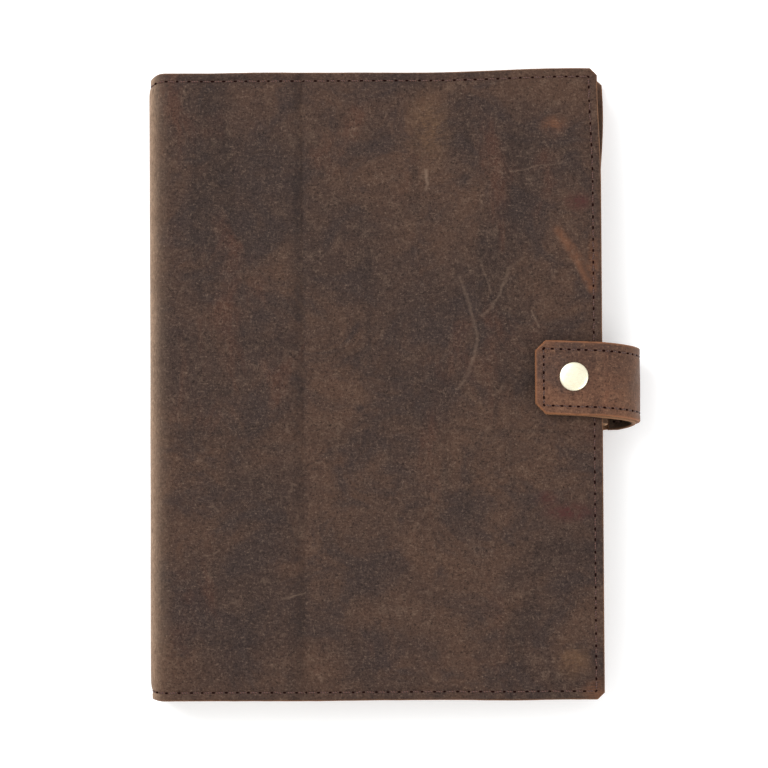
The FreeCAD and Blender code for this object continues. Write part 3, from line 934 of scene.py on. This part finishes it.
def front_slide(s, y):
    """The front panel's fore-edge runs in a little towards the head."""
    return -FRONT_RUN_IN * smooth(s, 110.0, 165.0) * smooth(y, 70.0, 108.0)


def back_slide(s, y):
    """The back panel's fore-edge stands out a little near the head."""
    return BACK_STAND_OUT * smooth(s, 70.0, 168.0) * bump_line(y - 97.0, 25.0)


front = Sheet(cover_path(True), -HALF_HEIGHT, HALF_HEIGHT, PLY, (False, True), (0, CORNER_CLIP), 1,
              extra_s=(PANEL_MOUTH - 0.6,))
front.relief = front_relief
front.wear_and_highlight = fold_wear_and_highlight
front.slide = front_slide
front.rise = lambda s, y: front_rise(s, y) + rounded_corner(s, y)
cover_front = dress(front.build("cover_front"), cover_front_leather)
follow_front(cover_front)
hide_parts("front_leather", "spine_leather")

# The back half shares the front half's seeds and runs the other way, so the hide is one across the spine.
back = Sheet(cover_path(False), -HALF_HEIGHT, HALF_HEIGHT, PLY, (False, True), (0, CORNER_CLIP), 1)
back.way = -1.0
back.relief = back_relief
back.wear_and_highlight = fold_wear_and_highlight
back.slide = back_slide
back.rise = rounded_corner
cover_back = dress(back.build("cover_back"), cover_back_leather)
follow_back(cover_back)
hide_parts("back_leather")

SEAM_Y = HALF_HEIGHT - SEAM_INSET
SEAM_END = front.path.length - SEAM_INSET
around_cover = [(0.0, SEAM_Y), (SEAM_END, SEAM_Y), (SEAM_END, -SEAM_Y), (0.0, -SEAM_Y)]
COVER_STITCH = dict(pitch=SEAM_PITCH, radius=0.26, rise=0.26, hole=(0.54, 0.48))


def add_stitches(name, sheet, corners, look, follow, nodes=(), **how):
    thread, hole_shades = stitch_run(name, sheet, corners, **how)
    dress(thread, look)
    dress(hole_shades, hole_shade)
    for piece in (thread, hole_shades):
        follow(piece)
    if nodes:
        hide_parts(*nodes)


add_stitches("front_stitches", front, around_cover, cover_thread, follow_front,
             ("front_seam_thread", "spine_thread_head", "spine_thread_tail"), seed=101, **COVER_STITCH)
BACK_STITCH = dict(COVER_STITCH, rise=0.24)
add_stitches("back_stitches", back, around_cover, cover_thread, follow_back,
             ("back_seam_thread",), seed=102, **BACK_STITCH)
for label, sheet, follow in (("front", front, follow_front), ("back", back, follow_back)):
    for place, y in (("head", SEAM_Y), ("tail", -SEAM_Y)):
        seam = [(0.0, y), (PANEL_MOUTH - 1.0, y)]
        add_stitches(label + "_inner_stitches_" + place, sheet, seam, cover_thread, follow,
                     seed=110, face=-1.0, depth=PLY, **COVER_STITCH)


def ride_back(piece):
    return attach(piece, "back_cover")


# The strap's root is sewn through the back panel along a narrow box.
ANCHOR_S = (FRONT_SHIFT + 72.0, FRONT_SHIFT + 75.0)
ANCHOR_Y = (STRAP_MIDDLE - 11.0, STRAP_MIDDLE + 11.0)
anchor = [(ANCHOR_S[a], ANCHOR_Y[b]) for a, b in ((0, 0), (1, 0), (1, 1), (0, 1), (0, 0))]
add_stitches("anchor_stitches", back, anchor, cover_thread, ride_back, ("strap_anchor_thread",), seed=120,
             **dict(BACK_STITCH, pitch=STRAP_PITCH))


# ---- inner pockets ----

# The pocket's inward face, up from the back or down from the front, and the middle of the stretch
# where the back pocket isn't drawn down, over the strap's root and the pen loop's web.
POCKET_FACE = 5.6
ROOT_MIDDLE = -0.8


def pocket_sheet(top, seed):
    height = CLOSED - POCKET_FACE if top else POCKET_FACE
    side = 1 if top else -1
    sheet = Sheet(Path([(POCKET_MOUTH, height), (HALF_DEPTH, height)], side), -HALF_HEIGHT, HALF_HEIGHT, PLY,
                  (True, True), (0, CORNER_CLIP), seed, extra_s=(96.0, 99.5))

    def to_seam_edge(s, y):
        """Distance from the nearest of the three sewn edges."""
        return np.minimum(sheet.path.length - s, HALF_HEIGHT - np.abs(y))

    def sewn_down(s, y, d):
        fall = 1.0 - smooth(to_seam_edge(s, y), 3.6, RIM_WIDTH - 1.0)
        if not top:
            beside = smooth(np.abs(y - ROOT_MIDDLE), 16.5, 22.0)
            fall = fall * np.maximum(beside, smooth(sheet.path.length - s, 12.0, 16.0))
        return -RIM_DROP * fall

    def uneven(s, y, d):
        swell = (0.07 * waves(s, y, seed, 48.0) - 0.07) * smooth(d, 1.0, 8.0)
        return seam_groove(to_seam_edge(s, y), 0.22, 0.7) + swell

    sheet.shift = sewn_down
    sheet.relief = uneven
    if top:
        sheet.rise = lambda s, y: front_rise(s + PANEL_MOUTH, y)
        sheet.slide = lambda s, y: front_slide(s + PANEL_MOUTH, y)
    else:
        sheet.slide = lambda s, y: back_slide(s + PANEL_MOUTH, y)
    return sheet


def ride_front(piece):
    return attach(piece, "front_cover")


for label, top, follow in (("front", True, ride_front), ("back", False, ride_back)):
    sheet = pocket_sheet(top, 61 if top else 62)
    piece = dress(sheet.build(label + "_pocket_sleeve"), pocket_leather)
    follow(piece)
    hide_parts(label + "_pocket")
    seam_end = sheet.path.length - SEAM_INSET
    add_stitches(label + "_pocket_stitches", sheet,
                 [(2.0, SEAM_Y), (seam_end, SEAM_Y), (seam_end, -SEAM_Y), (2.0, -SEAM_Y)],
                 cover_thread, follow, seed=130, **COVER_STITCH)


# ---- strap ----

STRAP_LOW = STRAP_MIDDLE - HALF_STRAP
STRAP_HIGH = STRAP_MIDDLE + HALF_STRAP
# The strap leans towards the tail: distances back from its tip, and how far it has dropped there.
LEAN_PLACES = (0.0, 23.5, 45.2, 66.9, 76.0)
LEAN_DROPS = (0.0, 0.9, 2.8, 5.4, 5.5)
outer_path = Path([(TAIL_START, LOOP_Z - LOOP_OUTER),
                   *arc((HALF_DEPTH, LOOP_Z), LOOP_OUTER, -90, 90),
                   (STRAP_TIP, LOOP_Z + LOOP_OUTER)], 1)
LINING_RADIUS = LOOP_OUTER - 2 * PLY
# The lining starts this far past the fore-edge.
LINING_PAST = 2.7
LINING_START = -90.0 + math.degrees(math.asin(LINING_PAST / LINING_RADIUS))
lining_path = Path([*arc((HALF_DEPTH, LOOP_Z), LINING_RADIUS, LINING_START, 90),
                    (STRAP_TIP, LOOP_Z + LINING_RADIUS)], -1)


def strap_sheet(path, seed, lean_length):
    sheet = Sheet(path, STRAP_LOW, STRAP_HIGH, PLY, (True, True), (0, TIP_CLIP), seed, spacing=0.9)
    length = path.length
    sheet.rise = lambda s, y: -np.interp((length - s) * lean_length, LEAN_PLACES, LEAN_DROPS)
    sheet.waviness = 0.12
    sheet.raw_width = 0.75
    return sheet


def outer_strap_relief(s, y, d):
    swell = 0.06 * waves(s, y, 72, 22.0) * smooth(d, 0.5, 4.0)
    return seam_groove(d, 0.20, 0.6) * smooth(s, 11.0, 13.0) + swell


outer_strap = strap_sheet(outer_path, 71, 1.0)
outer_strap.relief = outer_strap_relief
# Rubbing plus a painted highlight round the strap's fold.
outer_strap.wear_and_highlight = lambda s, y, d: 0.40 * bump_line(s - 33.0, 10.0)
inner_strap = strap_sheet(lining_path, 73, outer_path.length / lining_path.length * 0.94)
inner_strap.relief = lambda s, y, d: seam_groove(d, 0.15, 0.6) - 0.04
strap_outer = dress(outer_strap.build("strap_outer"), strap_leather)
follow_strap(strap_outer)
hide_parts("strap_root_outer", "strap_tip_outer")
strap_inner = dress(inner_strap.build("strap_lining"), lining_leather)
follow_strap(strap_inner)
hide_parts("strap_root_lining", "strap_tip_lining")


def strap_seam(length, start):
    """Up one side, across the tip and back down the other."""
    high = STRAP_HIGH - SEAM_INSET
    low = STRAP_LOW + SEAM_INSET
    end = length - SEAM_INSET
    return [(start, high), (end, high), (end, low), (start, low)]


STRAP_STITCH = dict(pitch=STRAP_PITCH, radius=0.24, rise=0.20, hole=(0.58, 0.42))
add_stitches("strap_stitches", outer_strap, strap_seam(outer_path.length, 13.0), strap_thread, follow_strap,
             ("strap_thread",), seed=140, **STRAP_STITCH)
add_stitches("strap_inner_stitches", inner_strap, strap_seam(lining_path.length, 2.5), strap_thread,
             follow_strap, seed=141, **STRAP_STITCH)


# ---- pen loop ----

PEN_PLY = 1.3
PEN_OUTER = 6.0
WEB_Z = 3.25
WEB_BEND = 1.6
WEB_X = PEN_X + PEN_OUTER
# A web out from under the strap's root, a small bend up, then nearly a full turn round the pen.
pen_points = [(77.0, WEB_Z), (80.7, WEB_Z), *arc((WEB_X - WEB_BEND, WEB_Z + WEB_BEND), WEB_BEND, -90, 0),
              (WEB_X, 8.0), *arc((PEN_X, PEN_Z), PEN_OUTER, 0, 316)]
pen_sheet = Sheet(Path(pen_points, 1), STRAP_LOW - PEN_DROP, STRAP_HIGH - PEN_DROP, PEN_PLY,
                  (False, False), (0, 0), 81, spacing=0.6)
pen_sheet.relief = lambda s, y, d: 0.05 * waves(s, y, 82, 9.0)
pen_piece = dress(pen_sheet.build("pen_loop_leather"), pen_leather)
ride_back(pen_piece)
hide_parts("pen_loop")


# ---- notebook ----

def rounded_board(name, x_low, x_high, half_y, z_low, z_high, corner, bevel):
    """A flat board with rounded fore-edge corners and softened edges."""
    outline = [(x_low, -half_y)]
    for middle_y, start in ((-half_y + corner, -90), (half_y - corner, 0)):
        for angle in np.linspace(start, start + 90, 9):
            outline.append((x_high - corner + corner * math.cos(math.radians(angle)),
                            middle_y + corner * math.sin(math.radians(angle))))
    outline.append((x_low, half_y))
    middle = np.array(outline).mean(axis=0)
    levels = [(z_low, bevel), (z_low + 0.3 * bevel, 0.3 * bevel), (z_low + bevel, 0.0),
              (z_high - bevel, 0.0), (z_high - 0.3 * bevel, 0.3 * bevel), (z_high, bevel)]
    points = []
    for z, inset in levels:
        for x, y in outline:
            points.append((x - inset * np.sign(x - middle[0]), y - inset * np.sign(y - middle[1]), z))
    piece = make_mesh(name, points, stacked_rings(len(levels), len(outline)))
    shade(piece.data, False)
    return piece


BOARD_PLY = 1.95
BOARD = dict(x_low=-76.0, x_high=69.0, half_y=105.0, corner=6.0, bevel=0.35)
for label, z_low, body in (("front_board", 20.0, "front_cover"), ("back_board", 1.65, "back_cover")):
    piece = rounded_board(label + "_card", z_low=z_low, z_high=z_low + BOARD_PLY, **BOARD)
    dress(piece, board)
    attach(piece, body)
    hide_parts(label)

# The block of leaves is thinner past the pockets' mouths, where the pocket plies lie over it.
LEAF_X = np.array([-75.5, -62.0, -50.0, -44.0, -40.0, -36.0, -32.0, -28.0, -26.5, 0.0, 40.0, 67.0])
LEAVES = 34
LEAF_SHARE = 0.9
LEAF_HALF = 103.0
ramp = smooth(LEAF_X, -52.0, -27.0)
bottom = 3.65 + 2.0 * ramp
depth = 19.65 - 1.6 * ramp - bottom
leaf_dice = np.random.default_rng(91)
leaf_points, leaf_faces = [], []
for leaf in range(LEAVES):
    nudge = leaf_dice.uniform(-0.18, 0.18)
    x_line = LEAF_X + nudge * (LEAF_X > 50)
    half = LEAF_HALF + leaf_dice.uniform(-0.15, 0.0)
    points, faces = slab(x_line, -half, half, bottom + depth * leaf / LEAVES,
                         bottom + depth * (leaf + LEAF_SHARE) / LEAVES)
    leaf_faces.extend(shifted(faces, len(leaf_points)))
    leaf_points.extend(points)
pages = make_mesh("notebook_pages", leaf_points, leaf_faces)
tidy_mesh(pages)
shade(pages.data, False)
dress(pages, paper)
ride_back(pages)
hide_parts("page_block")


# ---- snap ----

# Half the dome's outline: distance from its middle and height over the strap.
CAP_PROFILE = [(4.5, 0.0), (4.95, 0.05), (5.1, 0.25), (5.05, 0.5), (4.8, 0.68), (4.3, 0.80),
               (3.4, 0.92), (2.2, 1.01), (1.1, 1.06), (0.05, 1.08)]
cap_outline = [(radius, STRAP_TOP + height) for radius, height in CAP_PROFILE]
cap = dress(lathe("snap_cap_dome", cap_outline, (SNAP_X, STRAP_MIDDLE)), cap_brass_highlit)
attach(cap, "strap")
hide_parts("snap_cap")
for node in ("snap_socket", "snap_stud", "snap_post"):
    dress(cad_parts[node], brass)
dress(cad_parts["snap_ring"], steel)
dress(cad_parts["notebook_spine"], board)


# ---- stage ----

# The floor lies just under the lowest stitches.
FLOOR_Z = -0.00035
FLOOR_HALF = 4.0
FLOOR_GLOW = 0.22
SKY_GLOW = 0.85
floor_corners = [(x * FLOOR_HALF, y * FLOOR_HALF, FLOOR_Z) for x, y in ((-1, -1), (1, -1), (1, 1), (-1, 1))]
floor_mesh = bpy.data.meshes.new("floor")
floor_mesh.from_pydata(floor_corners, [], [(0, 1, 2, 3)])
floor = add_object("floor", floor_mesh)
floor_mesh.materials.append(plain("floor_white", (0.92, 0.92, 0.92), 0.9, glow=FLOOR_GLOW))

world = bpy.data.worlds.new("studio")
bpy.context.scene.world = world
world.use_nodes = True
sky = [n for n in world.node_tree.nodes if n.type == "BACKGROUND"][0]
sky.inputs["Color"].default_value = (1.0, 1.0, 1.0, 1.0)
sky.inputs["Strength"].default_value = SKY_GLOW


LIT_PLACE = Vector((0.0, 0.0, 0.02))


def soft_light(name, place, size, power):
    """A square lamp turned towards the cover."""
    lamp = bpy.data.lights.new(name, "AREA")
    lamp.shape = "SQUARE"
    lamp.size = size
    lamp.energy = power
    holder = add_object(name, lamp)
    holder.location = place
    way = LIT_PLACE - Vector(place)
    holder.rotation_mode = "QUATERNION"
    holder.rotation_quaternion = way.to_track_quat("-Z", "Y")


soft_light("key", (-0.55, 0.45, 1.05), 0.6, 9.0)
soft_light("fill", (0.8, -0.5, 0.9), 0.8, 4.0)


# ---- camera ----

# Looking almost straight down; AIM is the place in the middle of the picture.
LENS = 162.0
SENSOR = 36.0
CAMERA_DISTANCE = 1.22
camera_data = bpy.data.cameras.new("camera")
camera_data.lens = LENS
camera_data.sensor_width = SENSOR
camera = add_object("camera", camera_data)
ELEVATION = math.radians(88.0)
ROLL = math.radians(-0.3)
AIM = Vector((0.0028, 0.0005, 0.0240))
BACK = Vector((0.0, -math.cos(ELEVATION), math.sin(ELEVATION)))
camera.location = AIM + BACK * CAMERA_DISTANCE
camera.rotation_mode = "QUATERNION"
camera.rotation_quaternion = (-BACK).to_track_quat("-Z", "Y") @ Quaternion((0.0, 0.0, 1.0), ROLL)
camera_data.clip_start = 0.05
camera_data.clip_end = 20.0
bpy.context.scene.camera = camera
bpy.context.scene.view_settings.view_transform = "Standard"
